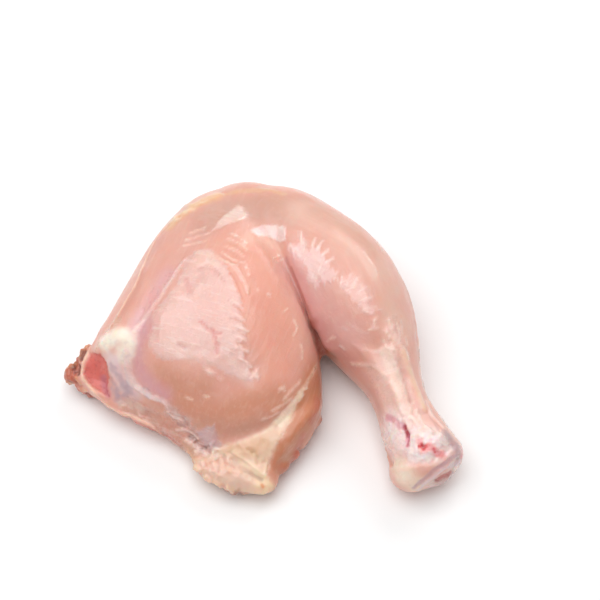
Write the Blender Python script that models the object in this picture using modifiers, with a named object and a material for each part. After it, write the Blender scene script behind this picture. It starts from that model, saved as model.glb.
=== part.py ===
# Raw skinless chicken leg, thigh and drumstick in one piece, lying on its inner side.
# X runs across the leg, Y away from the knuckle end, Z up. Sizes in the tables are millimetres.
import math

import bpy
import bmesh
import numpy as np
from mathutils import Euler, Matrix, Vector, noise

MM = 0.001

# Real size of the leg: across, from the hip corner to the ankle, and from the table to its top.
LEG_ACROSS = 146
LEG_HEIGHT = 42

# The tables below are drawn a little larger, and fit_to_size brings the whole to the real size.

# Thigh sections from the cut hip end to the knee. Each row is the section's front edge (x, y, z),
# its back edge (x, y, z), the height of its top, where that top lies between the edges (0 to 1),
# and the height of its underside, which the table flattens where it is below 0.
THIGH_SECTIONS = (
    ((-91, -47, 7), (-14, -94, 5), 10, 0.40, 0),
    ((-89, -43, 10), (-10, -91, 5), 18, 0.38, -2),
    ((-86, -38, 13), (-1, -84, 5), 30, 0.38, -3),
    ((-81.5, -27, 15), (7, -73, 6), 41, 0.42, -3),
    ((-74.5, -11, 17), (11, -57, 8), 47, 0.46, -3),
    ((-67.5, 5, 18), (10, -37, 13), 49, 0.50, -3),
    ((-61, 17, 19), (6, -15, 20), 49, 0.52, -3),
    ((-54, 27, 20), (0, 2, 23), 46, 0.52, -2),
    ((-45, 35, 22), (-6, 17, 24), 42, 0.52, 2),
    ((-34, 39, 23), (-12, 30, 24), 33, 0.50, 12),
)

# Drumstick sections from the knee to the cut ankle, with the same columns.
DRUMSTICK_SECTIONS = (
    ((-38, 16, 22), (-20, 41, 22), 38, 0.50, 10),
    ((-30, 4, 22), (2, 40, 23), 46, 0.50, 2),
    ((-16, -8, 22), (19, 25, 23), 49, 0.50, -1),
    ((-4, -19, 21), (34, 11, 23), 50, 0.50, -3),
    ((4.5, -28, 20), (43, -3, 22), 49, 0.48, -3),
    ((12, -36.5, 18), (47.5, -18, 21), 45, 0.48, -2),
    ((19, -43.5, 16), (48, -31, 20), 39, 0.48, 1),
    ((26, -50.5, 15), (48, -43, 18), 33, 0.50, 4),
    ((29.5, -58, 14), (50, -53, 16), 28, 0.50, 4),
    ((32, -67, 12), (54, -60, 15), 26, 0.50, 2),
    ((34, -77, 10), (59.5, -69, 14), 26, 0.52, 0),
    ((35.5, -85, 9), (63, -78, 13), 27, 0.55, -2),
    ((39, -91, 10), (62, -85, 13), 24, 0.55, -1),
    ((47, -94, 12), (58, -90, 13), 18, 0.50, 6),
)

# Rounded lumps that stand on the two lofts: centre, half sizes, and turn about Z in degrees.
LUMPS = (
    ((-22, 22, 23), (23, 19, 20), 10),
    ((-30, -85, 7), (15, 7, 7), -25),
    ((-17, -87, 7), (10, 8, 7), -30),
    ((-41, -75, 6), (10, 5, 6), -33),
    ((-90, -41, 9), (6, 5, 5), 30),
    ((-86, -35, 13), (6, 4, 5), 60),
    ((-84, -47, 5), (8, 4, 4), -10),
    ((44, -86, 10), (9.5, 8.5, 10), 0),
    ((56, -79, 13), (8.5, 8.5, 10), 0),
)

# Grooves and ridges: a path over the skin, half its width, and its rise (below 0 sinks).
RELIEF = {
    "seam between thigh and calf": (
        ((-16, 12, 44), (-13, 6, 44), (-10, 0, 43), (-6, -6, 42), (-3, -12, 40), (1, -18, 37),
         (4, -24, 33), (6.5, -30, 26), (8, -37, 16)),
        3.2, -2.6),
    "lip of the thigh over the calf": (
        ((-17, 1, 48), (-13, -8, 47), (-9, -16, 45), (-5, -24, 41), (-1, -33, 35), (2, -42, 27)),
        6.0, 1.3),
    "groove behind the front band": (
        ((-33, 14, 46), (-44, 0, 45), (-52, -9, 43), (-59, -23, 40), (-64, -36, 36), (-67, -46, 30),
         (-63, -55, 23)),
        5.0, -1.8),
    "trough over the hip bone": (
        ((-76, -50, 18), (-69, -56, 17), (-60, -62, 16), (-49, -68, 16), (-41, -74, 14),
         (-35, -79, 14)),
        5.0, -1.8),
    "joint cartilage": (((-72, -36, 31), (-78, -38, 27)), 6.0, 2.2),
    "cut red muscle": (((-81, -42, 22), (-80, -49, 16)), 5.0, -2.2),
    "rim of the cut": (
        ((-81, -37, 24), (-84, -39, 20), (-87, -42, 16), (-87, -45, 13), (-82, -50, 12),
         (-73, -57, 10), (-64, -63, 9), (-54, -69, 7), (-45, -77, 7)),
        2.4, 1.6),
    "fat wedge": (((6, -59, 14), (-4, -74, 18), (-15, -81, 16), (-28, -84, 16)), 6.5, 1.6),
    "crest along the fat": (
        ((8, -56, 15), (1, -66, 20), (-4, -73, 18), (-7, -79, 15), (-12, -86, 11)), 2.6, 1.6),
    "groove above the fat": (
        ((2, -61, 24), (-5, -68, 23), (-15, -73, 22), (-24, -75, 20), (-34, -77, 16)), 3.0, -1.6),
    "flank below the crest": (((8, -62, 9), (2, -74, 8), (-5, -84, 6)), 6.0, -1.8),
    "inner shank tendon": (
        ((21, -39, 33), (30, -47, 31), (36, -55, 28), (41, -65, 26)), 2.4, 1.3),
    "outer shank tendon": (
        ((34, -34, 40), (39, -42, 34), (43, -51, 29), (45, -58, 26), (49, -67, 25)), 2.4, 1.2),
    "hollow between tendons": (((28, -39, 37), (35, -48, 31), (40, -57, 27)), 2.6, -1.0),
    "knuckle crease": (
        ((36, -84, 15), (41, -84, 21), (47, -87, 23), (53, -86, 24), (58, -81, 23), (61, -74, 18)),
        2.2, -1.6),
    "joint line on the end": (
        ((47, -95, 10), (53, -91, 12), (57, -89, 16), (61, -85, 16), (64, -81, 16)), 2.2, -2.0),
    "hollow in front of the ankle": (((40, -73, 24), (42, -80, 24), (50, -82, 25)), 3.0, -1.2),
}

# The hip cut is torn, the rest of the skin only uneven: size of the waves and their height.
TEAR_WAVE, TEAR_RISE, TEAR_REACH = 5.0, 1.5, 11.0
SKIN_WAVE, SKIN_RISE = 24.0, 0.9

# A groove or ridge starts and ends at this share of its rise, and gains the rest over FADE_LENGTH.
END_RISE = 0.25
FADE_LENGTH = 0.12

RING_POINTS = 20
LUMP_SEGMENTS, LUMP_RINGS = 24, 16
BELLY_FLATNESS = 0.75
CAGE_LEVELS = 2
WELD_VOXEL = 1.4
WELD_SMOOTHING = 8
RELIEF_SMOOTHING = 2
PATH_STEPS = 8
CAD_TRIANGLES = 8000
TABLE_BLOCK = 400

MEAT_COLOUR = (0.80, 0.42, 0.32, 1)
MEAT_ROUGHNESS = 0.3
MEAT_GLOW_DEPTH = 0.004


def clear_scene():
    for obj in list(bpy.data.objects):
        bpy.data.objects.remove(obj)


def new_collection(name):
    collection = bpy.data.collections.new(name)
    bpy.context.scene.collection.children.link(collection)
    return collection


def add_object(name, mesh, collection):
    obj = bpy.data.objects.new(name, mesh)
    collection.objects.link(obj)
    return obj


def section_ring(front, back, top, peak, under):
    """Points of one closed section: an arch over the two edges and a flatter belly below them."""
    front, back = Vector(front), Vector(back)
    points = []
    for step in range(RING_POINTS):
        turn = 2 * math.pi * step / RING_POINTS
        across = 0.5 - 0.5 * math.cos(turn)
        swell = abs(math.sin(turn))
        edge = front.lerp(back, across)
        if turn <= math.pi:
            lean = (peak - 0.5) * swell
            spot = front.lerp(back, min(1.0, max(0.0, across + lean)))
            points.append(Vector((spot.x, spot.y, edge.z + (top - edge.z) * swell)))
        else:
            points.append(Vector((edge.x, edge.y, edge.z + (under - edge.z) * swell ** BELLY_FLATNESS)))
    return points


def loft(name, sections, collection):
    """A closed body over the sections, smoothed from its coarse cage."""
    mesh = bpy.data.meshes.new(name)
    bm = bmesh.new()
    rings = [[bm.verts.new(p * MM) for p in section_ring(*row)] for row in sections]
    for low, high in zip(rings, rings[1:]):
        for i in range(RING_POINTS):
            j = (i + 1) % RING_POINTS
            bm.faces.new((low[i], low[j], high[j], high[i]))
    bm.faces.new(list(reversed(rings[0])))
    bm.faces.new(rings[-1])
    bmesh.ops.recalc_face_normals(bm, faces=bm.faces)
    bm.to_mesh(mesh)
    bm.free()
    obj = add_object(name, mesh, collection)
    smooth = obj.modifiers.new("smooth cage", "SUBSURF")
    smooth.levels = smooth.render_levels = CAGE_LEVELS
    return obj


def lump(name, centre, half_sizes, turn, collection):
    mesh = bpy.data.meshes.new(name)
    bm = bmesh.new()
    bmesh.ops.create_uvsphere(bm, u_segments=LUMP_SEGMENTS, v_segments=LUMP_RINGS, radius=1)
    place = Matrix.LocRotScale(
        Vector(centre) * MM, Euler((0, 0, math.radians(turn))), Vector(half_sizes) * MM)
    bm.transform(place)
    bm.to_mesh(mesh)
    bm.free()
    return add_object(name, mesh, collection)


def evaluated_mesh(obj):
    graph = bpy.context.evaluated_depsgraph_get()
    return bpy.data.meshes.new_from_object(obj.evaluated_get(graph))


def apply_modifiers(obj):
    obj.data = evaluated_mesh(obj)
    obj.modifiers.clear()


def soften(obj, passes):
    smooth = obj.modifiers.new("soften", "SMOOTH")
    smooth.factor = 0.5
    smooth.iterations = passes


def weld(name, bodies, collection):
    """One skin over all the bodies, with the joints between them softened."""
    bm = bmesh.new()
    for body in bodies:
        bm.from_mesh(evaluated_mesh(body))
    mesh = bpy.data.meshes.new(name)
    bm.to_mesh(mesh)
    bm.free()
    for body in bodies:
        bpy.data.objects.remove(body)
    obj = add_object(name, mesh, collection)
    skin = obj.modifiers.new("one skin", "REMESH")
    skin.mode = "VOXEL"
    skin.voxel_size = WELD_VOXEL * MM
    soften(obj, WELD_SMOOTHING)
    apply_modifiers(obj)
    return obj


def smooth_path(points):
    """A Catmull-Rom curve through the points, as an array in metres."""
    knots = [Vector(p) * MM for p in points]
    knots = [knots[0] * 2 - knots[1], *knots, knots[-1] * 2 - knots[-2]]
    curve = []
    for a, b, c, d in zip(knots, knots[1:], knots[2:], knots[3:]):
        for step in range(PATH_STEPS):
            t = step / PATH_STEPS
            curve.append(0.5 * (2 * b + (c - a) * t + (2 * a - 5 * b + 4 * c - d) * t ** 2
                                + (3 * b - a - 3 * c + d) * t ** 3))
    curve.append(knots[-2])
    return np.array(curve)


def distance_along(spots, path):
    """For each spot, how far it is from the path, and how far along the path that is (0 to 1)."""
    starts, steps = path[:-1], np.diff(path, axis=0)
    lengths = np.maximum(np.linalg.norm(steps, axis=1), 1e-9)
    ends = np.cumsum(lengths)
    nearest = np.full(len(spots), np.inf)
    along = np.zeros(len(spots))
    for start, step, length, end in zip(starts, steps, lengths, ends):
        t = np.clip((spots - start) @ step / length ** 2, 0, 1)
        gap = np.linalg.norm(spots - start - t[:, None] * step, axis=1)
        closer = gap < nearest
        nearest[closer] = gap[closer]
        along[closer] = (end - length + t[closer] * length) / ends[-1]
    return nearest, along


def bell(distance, half_width):
    return np.exp(-(distance / (half_width * MM)) ** 2)


def carve(obj):
    """Sinks the grooves and lifts the ridges of RELIEF, and roughens the cut and the skin."""
    mesh = obj.data
    spots = np.empty(len(mesh.vertices) * 3)
    mesh.vertices.foreach_get("co", spots)
    spots = spots.reshape(-1, 3)
    normals = np.array([v.normal[:] for v in mesh.vertices])
    rise = np.zeros(len(spots))
    for points, half_width, height in RELIEF.values():
        gap, along = distance_along(spots, smooth_path(points))
        fade = np.clip(np.minimum(along, 1 - along) / FADE_LENGTH, 0, 1)
        if len(points) == 2:
            fade = 1.0
        rise += height * bell(gap, half_width) * (END_RISE + (1 - END_RISE) * fade)
    cut, _ = distance_along(spots, smooth_path(RELIEF["rim of the cut"][0]))
    torn = bell(cut, TEAR_REACH) * TEAR_RISE
    for i, spot in enumerate(spots):
        rise[i] += SKIN_RISE * noise.noise(Vector(spot) / (SKIN_WAVE * MM))
        rise[i] += torn[i] * noise.noise(Vector(spot) / (TEAR_WAVE * MM))
    mesh.vertices.foreach_set("co", (spots + normals * rise[:, None] * MM).ravel())
    mesh.update()
    soften(obj, RELIEF_SMOOTHING)
    apply_modifiers(obj)


def flatten_underside(obj, cutters):
    """The table presses the underside flat at height 0."""
    mesh = bpy.data.meshes.new("table_block")
    bm = bmesh.new()
    bmesh.ops.create_cube(bm, size=TABLE_BLOCK * MM)
    bm.transform(Matrix.Translation((0, 0, -TABLE_BLOCK * MM / 2)))
    bm.to_mesh(mesh)
    bm.free()
    block = add_object("table_block", mesh, cutters)
    block.hide_render = True
    block.display_type = "WIRE"
    press = obj.modifiers.new("flat underside", "BOOLEAN")
    press.operation = "DIFFERENCE"
    press.solver = "EXACT"
    press.object = block
    apply_modifiers(obj)


def thin_out(obj):
    """Fewer triangles, kept where the skin bends most."""
    obj.data.calc_loop_triangles()
    fewer = obj.modifiers.new("fewer triangles", "DECIMATE")
    fewer.ratio = min(1.0, CAD_TRIANGLES / len(obj.data.loop_triangles))
    fewer.use_collapse_triangulate = True
    apply_modifiers(obj)


def fit_to_size(obj):
    """Brings the leg to its real size, with the middle of its footprint on the origin."""
    corners = np.array([corner[:] for corner in obj.bound_box])
    low, high = corners.min(0), corners.max(0)
    middle = (low + high) / 2
    across = LEG_ACROSS * MM / (high[0] - low[0])
    upward = LEG_HEIGHT * MM / high[2]
    obj.data.transform(Matrix.Diagonal((across, across, upward, 1))
                       @ Matrix.Translation((-middle[0], -middle[1], 0)))


def raw_meat():
    material = bpy.data.materials.new("raw meat")
    material.use_nodes = True
    shader = material.node_tree.nodes["Principled BSDF"]
    shader.inputs["Base Color"].default_value = MEAT_COLOUR
    shader.inputs["Roughness"].default_value = MEAT_ROUGHNESS
    shader.inputs["Subsurface Weight"].default_value = 1.0
    shader.inputs["Subsurface Scale"].default_value = MEAT_GLOW_DEPTH
    return material


def main():
    clear_scene()
    leg_collection = new_collection("chicken leg")
    cutters = new_collection("cutters")
    bodies = [
        loft("thigh", THIGH_SECTIONS, leg_collection),
        loft("drumstick", DRUMSTICK_SECTIONS, leg_collection),
    ]
    for number, (centre, half_sizes, turn) in enumerate(LUMPS):
        bodies.append(lump(f"lump_{number}", centre, half_sizes, turn, leg_collection))
    leg = weld("chicken_leg", bodies, leg_collection)
    carve(leg)
    thin_out(leg)
    flatten_underside(leg, cutters)
    fit_to_size(leg)
    leg.data.materials.append(raw_meat())
    leg.data.shade_smooth()


main()
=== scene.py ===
import math

import bpy
import bmesh
import numpy as np
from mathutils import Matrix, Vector, noise
from mathutils.bvhtree import BVHTree


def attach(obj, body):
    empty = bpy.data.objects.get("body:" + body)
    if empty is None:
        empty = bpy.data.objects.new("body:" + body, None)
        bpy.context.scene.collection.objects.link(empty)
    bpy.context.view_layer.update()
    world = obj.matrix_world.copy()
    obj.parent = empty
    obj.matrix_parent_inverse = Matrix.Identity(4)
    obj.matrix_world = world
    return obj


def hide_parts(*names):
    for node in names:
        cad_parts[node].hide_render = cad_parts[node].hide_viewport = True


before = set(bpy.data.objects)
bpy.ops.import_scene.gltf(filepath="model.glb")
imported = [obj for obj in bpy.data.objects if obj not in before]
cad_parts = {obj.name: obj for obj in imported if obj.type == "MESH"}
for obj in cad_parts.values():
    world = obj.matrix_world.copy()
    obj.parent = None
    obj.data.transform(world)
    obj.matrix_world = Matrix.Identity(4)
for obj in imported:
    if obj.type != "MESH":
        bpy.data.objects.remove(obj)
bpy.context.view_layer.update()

mm = 0.001
scene = bpy.context.scene


def fromScreen(tone):
    # a colour as a picture shows it (0 to 255), made linear for the shader
    parts = [part / 255 for part in tone]
    return [part / 12.92 if part <= 0.04045 else ((part + 0.055) / 1.055) ** 2.4 for part in parts]


# the camera looks down on the leg as the photo does, and its pixels place the marks below
photoView = {
    "side": 600,            # pixels
    "target": (13.97, 24.79, 0.0),
    "elevation": 58.0,
    "distance": 781.0,
    "lens": 121.43,
    "sensor": 36.0,
}

tilt = math.radians(photoView["elevation"])
towardCamera = Vector((0.0, -math.cos(tilt), math.sin(tilt)))
screenRight = Vector((1.0, 0.0, 0.0))
screenUp = screenRight.cross(-towardCamera)
cameraPlace = (Vector(photoView["target"]) + towardCamera * photoView["distance"]) * mm
screenMiddle = photoView["side"] / 2
pixelSlope = photoView["sensor"] / photoView["lens"] / photoView["side"]


def addCamera():
    data = bpy.data.cameras.new("photoCamera")
    data.sensor_width = photoView["sensor"]
    data.lens = photoView["lens"]
    data.clip_start = 0.01
    camera = bpy.data.objects.new("photoCamera", data)
    camera.location = cameraPlace
    camera.rotation_mode = "QUATERNION"
    camera.rotation_quaternion = (-towardCamera).to_track_quat("-Z", "Y")
    scene.collection.objects.link(camera)
    scene.camera = camera


def pixelRay(x, y):
    across = screenRight * (x - screenMiddle) * pixelSlope
    down = screenUp * (y - screenMiddle) * pixelSlope
    return (across - down - towardCamera).normalized()


addCamera()
print("camera in place")


def softStep(value):
    value = np.clip(value, 0, 1)
    return value * value * (3 - 2 * value)


def lines(*paths, **mark):
    # a mark along several paths, each a row of spots: (x, y) in pixels of the photo, (x, y, z) in mm
    return {"paths": paths, **mark}


def line(*spots, **mark):
    return lines(spots, **mark)


def patch(*corners, **mark):
    # a mark that fills an outline, in pixels of the photo
    return {"outline": corners, **mark}


# how the meat is made from the CAD solid
legBuild = {
    "merge": 0.001,         # mm, nearer points of the CAD copy become one
    "voxel": 0.88,          # mm, spacing of the fine skin
    "rounding": 2,          # levels that round the CAD triangles
    "evening": 4,           # smoothing passes after the remesh
    "bulge": 0.6,           # how far a finer face keeps the curve of the skin
    # where the skin is twice as fine: hip end, fat wedge, knuckle, edge of the thigh's film, seam, calf
    "finer": (
        line((74, 372), (100, 372), (128, 398), reach=11.0),
        line((150, 425), (200, 455), (255, 475), reach=8.0),
        line((400, 432), (432, 448), (420, 475), reach=13.0),
        line((228, 262), (246, 300), (250, 345), (246, 374), reach=4.0),
        line((284, 240), (296, 285), (310, 320), (318, 350), reach=4.5),
        line((300, 240), (316, 262), (330, 282), reach=6.0),
    ),
    # the drumstick is pressed against the thigh, so the crease between them is narrow
    "moved": (
        line((292, 250), (296, 262), (302, 275), (309, 290), (315, 305), (321, 320), (326, 335), (331, 346),
             reach=5.5, soft=1.0, move=(-2.7, 0.0, 0.0)),
        line((290, 259), (295, 271), (300, 284), (305, 297), (310, 311), (315, 325),
             reach=3.6, soft=1.0, move=(-1.3, 0.0, 0.0)),
    ),
    # the meat rounds under where it rests: how far the wall moves out or in at each height, in mm
    "tucked": {"heights": (0, 3, 7), "moves": (-8.5, -3.2, 0), "passes": 40},
    # the seam is soft near the knee, where thigh and calf share one sheath
    "eased": (
        line((268, 226), (277, 238), (284, 252), (290, 270), (297, 286), reach=8.0, soft=1.0, passes=60),
        line((256, 232), (268, 248), (280, 270), (292, 290), reach=9.0, soft=1.0, passes=30),
        line((285, 257), (291, 271), (297, 286), (303, 300), (308, 313), reach=3.0, soft=1.0, passes=30),
    ),
}

# the line where thigh and drumstick meet, seen from above, in mm
seamLine = {
    "y": (-62, -30, -9, -3, 3, 8, 14, 19, 25, 30, 36, 62),
    "x": (27, 30, 21.3, 19.9, 17.6, 14.9, 11.2, 8.5, 4.8, 2, -0.7, -8),
}

# the fibres of each muscle run along these lines, in mm
muscleLines = {
    "thigh": ((-38, -45, 12), (-25, -15, 16), (-12, 20, 18), (-6, 40, 18)),
    "drumstick": ((-8, 46, 18), (32, 20, 18), (44, -10, 17), (53, -32, 14), (60, -56, 11)),
}

# how the marks are drawn
brush = {
    "strength": 0.7,        # of a mark that gives none
    "grit": 3.0,            # mm, size of the waves in a ragged edge, and of the finer ones on them
    "fineGrit": 1.6,
    "fineAmount": 0.5,
    "ledgeWidth": 0.5,      # mm
    "jagMargin": 12,        # pixels outside a patch that its jags can reach
    "facing": 0.05,         # a patch leaves out skin that faces the camera less than this
    "soft": 0.8,            # part of the reach in which a line fades, where the mark gives none
    "edge": 2.0,            # pixels in which a patch fades
    "patchGrit": (5.0, 5.0),
    "narrowness": 3.2,      # of the ridges in wrinkled skin
    "seedGap": 17.3,        # between the places of two noises, so that they differ
    "pull": 0.8,            # how far one smoothing pass takes a point to its neighbours' middle
}

# tone of the meat before the marks, as on screen
plainMeat = (228, 172, 155)

# unevenness that is the same everywhere or follows a zone, in mm
legRelief = {
    "swell": (14.0, 0.28),       # size of the waves, how high
    "dimple": (5.0, 0.09),
    "grain": (0.09, 13.0, 1.7),  # how high, length and width of a fibre bundle
    "crossRipple": (0.05, 2.2, 8.0),
    "torn": (2.4, 1.2),          # size of the large and small shreds
    "wrinkled": (3.4, 1.8),      # size of the large and small wrinkles
    "lobule": (3.2, 0.35),       # size and height of the lobes in fat
}


class Skin:
    # the fine mesh as arrays: places, normals, painted tone and the zones that the shader reads

    zoneNames = ("fat", "film", "raw", "gristle", "muscle")

    def __init__(self, piece):
        mesh = piece.data
        self.piece = piece
        self.count = len(mesh.vertices)
        self.spots = self.vectors(mesh.vertices, "co")
        self.faces = [tuple(face.vertices) for face in mesh.polygons]
        self.edges = np.array([tuple(edge.vertices) for edge in mesh.edges])
        self.settle()
        self.tone = np.zeros((self.count, 3))
        self.lift = np.zeros(self.count)
        self.zones = {name: np.zeros(self.count) for name in self.zoneNames}
        self.torn = np.zeros(self.count)
        self.wrinkled = np.zeros(self.count)
        self.known = {}         # waves already worked out

    def settle(self):
        # after the points have moved: their normals, and where the camera sees them
        mesh = self.piece.data
        mesh.vertices.foreach_set("co", self.spots.ravel())
        mesh.update()
        self.normals = self.vectors(mesh.vertex_normals, "vector")
        self.tree = BVHTree.FromPolygons(self.spots.tolist(), self.faces)
        seen = self.spots - np.array(cameraPlace)
        depth = -seen @ np.array(towardCamera)
        self.screenX = screenMiddle + seen @ np.array(screenRight) / depth / pixelSlope
        self.screenY = screenMiddle - seen @ np.array(screenUp) / depth / pixelSlope

    def vectors(self, items, name):
        values = np.empty(len(items) * 3)
        items.foreach_get(name, values)
        return values.reshape(-1, 3)

    def waves(self, size, seed=0):
        # soft noise from -1 to 1 with bumps of this size in mm
        if (size, seed) not in self.known:
            places = self.spots / (size * mm) + seed * brush["seedGap"]
            self.known[size, seed] = np.array([noise.noise(place) for place in places.tolist()])
        return self.known[size, seed]

    def ridges(self, size, seed=0):
        # thin raised strands with flat ground between them, 0 to 1
        return np.clip(1 - np.abs(self.waves(size, seed)) * brush["narrowness"], 0, 1)

    def landing(self, spot):
        # where a spot of a mark lies on the skin; a pixel that misses it takes the nearest skin
        if len(spot) == 3:
            return self.tree.find_nearest(Vector(spot) * mm)[0]
        ray = pixelRay(*spot)
        hit = self.tree.ray_cast(cameraPlace, ray)[0]
        if hit:
            return hit
        place = cameraPlace + ray * photoView["distance"] * mm
        for closer in range(8):
            near = self.tree.find_nearest(place)[0]
            place = cameraPlace + ray * (near - cameraPlace).dot(ray)
        return near

    def route(self, spots, steps=6):
        # a smooth line over the skin through the spots
        knots = [self.landing(spot) for spot in spots]
        knots = [knots[0] * 2 - knots[1], *knots, knots[-1] * 2 - knots[-2]]
        track = []
        for a, b, c, d in zip(knots, knots[1:], knots[2:], knots[3:]):
            for step in range(steps):
                t = step / steps
                bend = (2 * a - 5 * b + 4 * c - d) * t ** 2 + (3 * b - a - 3 * c + d) * t ** 3
                track.append(self.tree.find_nearest((2 * b + (c - a) * t + bend) * 0.5)[0])
        track.append(knots[-2])
        return np.array(track)

    def stroke(self, path, mark):
        # 1 in the middle of a stroke and 0 from its reach on; the second array is 1 on the left of the stroke
        track = self.route(path)
        reach = mark["reach"] * mm
        ragged = mark.get("ragged", 0.0) * mm
        far = reach + ragged * (1 + brush["fineAmount"])
        near = np.where(((self.spots > track.min(0) - far) & (self.spots < track.max(0) + far)).all(1))[0]
        spots = self.spots[near]
        gap = np.full(len(near), np.inf)
        left = np.zeros(len(near))
        for start, step in zip(track[:-1], np.diff(track, axis=0)):
            t = np.clip((spots - start) @ step / max(step @ step, 1e-14), 0, 1)
            away = spots - start - t[:, None] * step
            length = np.linalg.norm(away, axis=1)
            closer = length < gap
            gap = np.where(closer, length, gap)
            sideways = (np.cross(self.normals[near], step / (np.linalg.norm(step) + 1e-12)) * away).sum(1)
            left = np.where(closer, sideways, left)
        if ragged:
            grit = self.waves(mark.get("grit", brush["grit"]), 5)
            fineGrit = self.waves(brush["fineGrit"], 6)
            gap = gap + ragged * (grit[near] + brush["fineAmount"] * fineGrit[near])
        cover = np.zeros(self.count)
        cover[near] = softStep((reach - gap) / (reach * mark.get("soft", brush["soft"])))
        leftSide = np.zeros(self.count)
        leftSide[near] = softStep(left / (brush["ledgeWidth"] * mm) + 0.5)
        return cover, leftSide

    def area(self, mark):
        # the inside of an outline given in pixels of the photo, with an edge that can be jagged
        x, y = self.screenX, self.screenY
        corners = np.array(mark["outline"], float)
        inside = np.zeros(self.count, bool)
        gap = np.full(self.count, np.inf)
        for (x0, y0), (x1, y1) in zip(corners, np.roll(corners, -1, axis=0)):
            crosses = (y0 > y) != (y1 > y)
            inside ^= crosses & (x < (x1 - x0) * (y - y0) / (y1 - y0 + 1e-9) + x0)
            along = (x - x0) * (x1 - x0) + (y - y0) * (y1 - y0)
            t = np.clip(along / ((x1 - x0) ** 2 + (y1 - y0) ** 2), 0, 1)
            gap = np.minimum(gap, np.hypot(x - x0 - t * (x1 - x0), y - y0 - t * (y1 - y0)))
        signed = np.where(inside, gap, -gap)
        near = np.where(signed > -brush["jagMargin"])[0]
        wide, tall = mark.get("grit", brush["patchGrit"])
        jags = np.array([noise.noise((a / wide, b / tall, 3.1)) for a, b in zip(x[near], y[near])])
        signed[near] += mark.get("ragged", 0.0) * jags
        facing = self.normals @ np.array(towardCamera) > brush["facing"]
        return softStep(signed / mark.get("edge", brush["edge"]) + 0.5) * facing

    def draw(self, mark):
        if "outline" in mark:
            layers = [(self.area(mark), 1.0)]
        else:
            layers = [self.stroke(path, mark) for path in mark["paths"]]
        for cover, leftSide in layers:
            if "tone" in mark:
                change = np.array(fromScreen(mark["tone"])) - self.tone
                self.tone += change * (cover * mark.get("strength", brush["strength"]))[:, None]
            self.lift += cover * (mark.get("rise", 0.0) + mark.get("ledge", 0.0) * leftSide)
            self.torn = np.maximum(self.torn, cover * mark.get("torn", 0.0))
            self.wrinkled = np.maximum(self.wrinkled, cover * mark.get("wrinkled", 0.0))
            for name in self.zoneNames:
                if name in mark:
                    self.zones[name] += (mark[name] - self.zones[name]) * cover

    def spread(self, values, cover, passes):
        # soften values over the mesh where cover is above 0, as a smoothing brush does
        one, other = self.edges[(cover[self.edges] > 0).any(1)].T
        count = self.count
        neighbours = np.bincount(one, minlength=count) + np.bincount(other, minlength=count)
        neighbours = np.maximum(neighbours, 1)
        for each in range(passes):
            for axis in range(values.shape[1]):
                column = values[:, axis].copy()
                total = np.bincount(one, column[other], count) + np.bincount(other, column[one], count)
                values[:, axis] += (total / neighbours - column) * cover * brush["pull"]

    def ease(self, mark):
        self.spread(self.spots, self.stroke(mark["paths"][0], mark)[0], mark["passes"])
        self.settle()

    def move(self, mark):
        cover = self.stroke(mark["paths"][0], mark)[0]
        self.spots += cover[:, None] * np.array(mark["move"]) * mm
        self.settle()

    def tuck(self, mark):
        height = self.spots[:, 2] / mm
        outward = self.normals[:, :2].copy()
        self.spread(outward, softStep(2 - height / mark["heights"][2]), mark["passes"])
        self.spots[:, :2] += outward * (np.interp(height, mark["heights"], mark["moves"]) * mm)[:, None]
        self.settle()

    def fibres(self, muscle):
        # each point's place along the muscle's line and its two distances from it
        knots = np.array(muscle, float) * mm
        best = np.full(self.count, np.inf)
        grain = np.zeros((self.count, 3))
        run = 0.0
        for start, step in zip(knots[:-1], np.diff(knots, axis=0)):
            length = np.linalg.norm(step)
            t = np.clip((self.spots - start) @ step / length ** 2, 0, 1)
            away = self.spots - start - t[:, None] * step
            gap = np.linalg.norm(away, axis=1)
            closer = gap < best
            best[closer] = gap[closer]
            grain[closer, 0] = run + t[closer] * length
            grain[closer, 1] = (away @ np.cross(step / length, (0, 0, 1)))[closer]
            grain[closer, 2] = away[closer, 2]
            run += length
        return grain

    def bundles(self, long, wide, seed=0.0):
        # noise drawn out along the fibres (or across them, when long is the smaller)
        places = self.grain / (np.array((long, wide, wide)) * mm) + seed
        return np.array([noise.noise(place) for place in places.tolist()])

    def save(self):
        mesh = self.piece.data
        spots = self.spots + self.normals * self.lift[:, None] * mm
        spots[:, 2] = np.maximum(spots[:, 2], 0.0)
        mesh.vertices.foreach_set("co", spots.ravel())
        tone = mesh.color_attributes.new("tone", "FLOAT_COLOR", "POINT")
        tone.data.foreach_set("color", np.column_stack((self.tone, np.ones(self.count))).ravel())
        for name, values in self.zones.items():
            mesh.attributes.new(name, "FLOAT", "POINT").data.foreach_set("value", values)
        mesh.attributes.new("grain", "FLOAT_VECTOR", "POINT").data.foreach_set("vector", self.grain.ravel())
        mesh.update()


def bakeShape(piece):
    graph = bpy.context.evaluated_depsgraph_get()
    piece.data = bpy.data.meshes.new_from_object(piece.evaluated_get(graph))
    piece.modifiers.clear()


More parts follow.
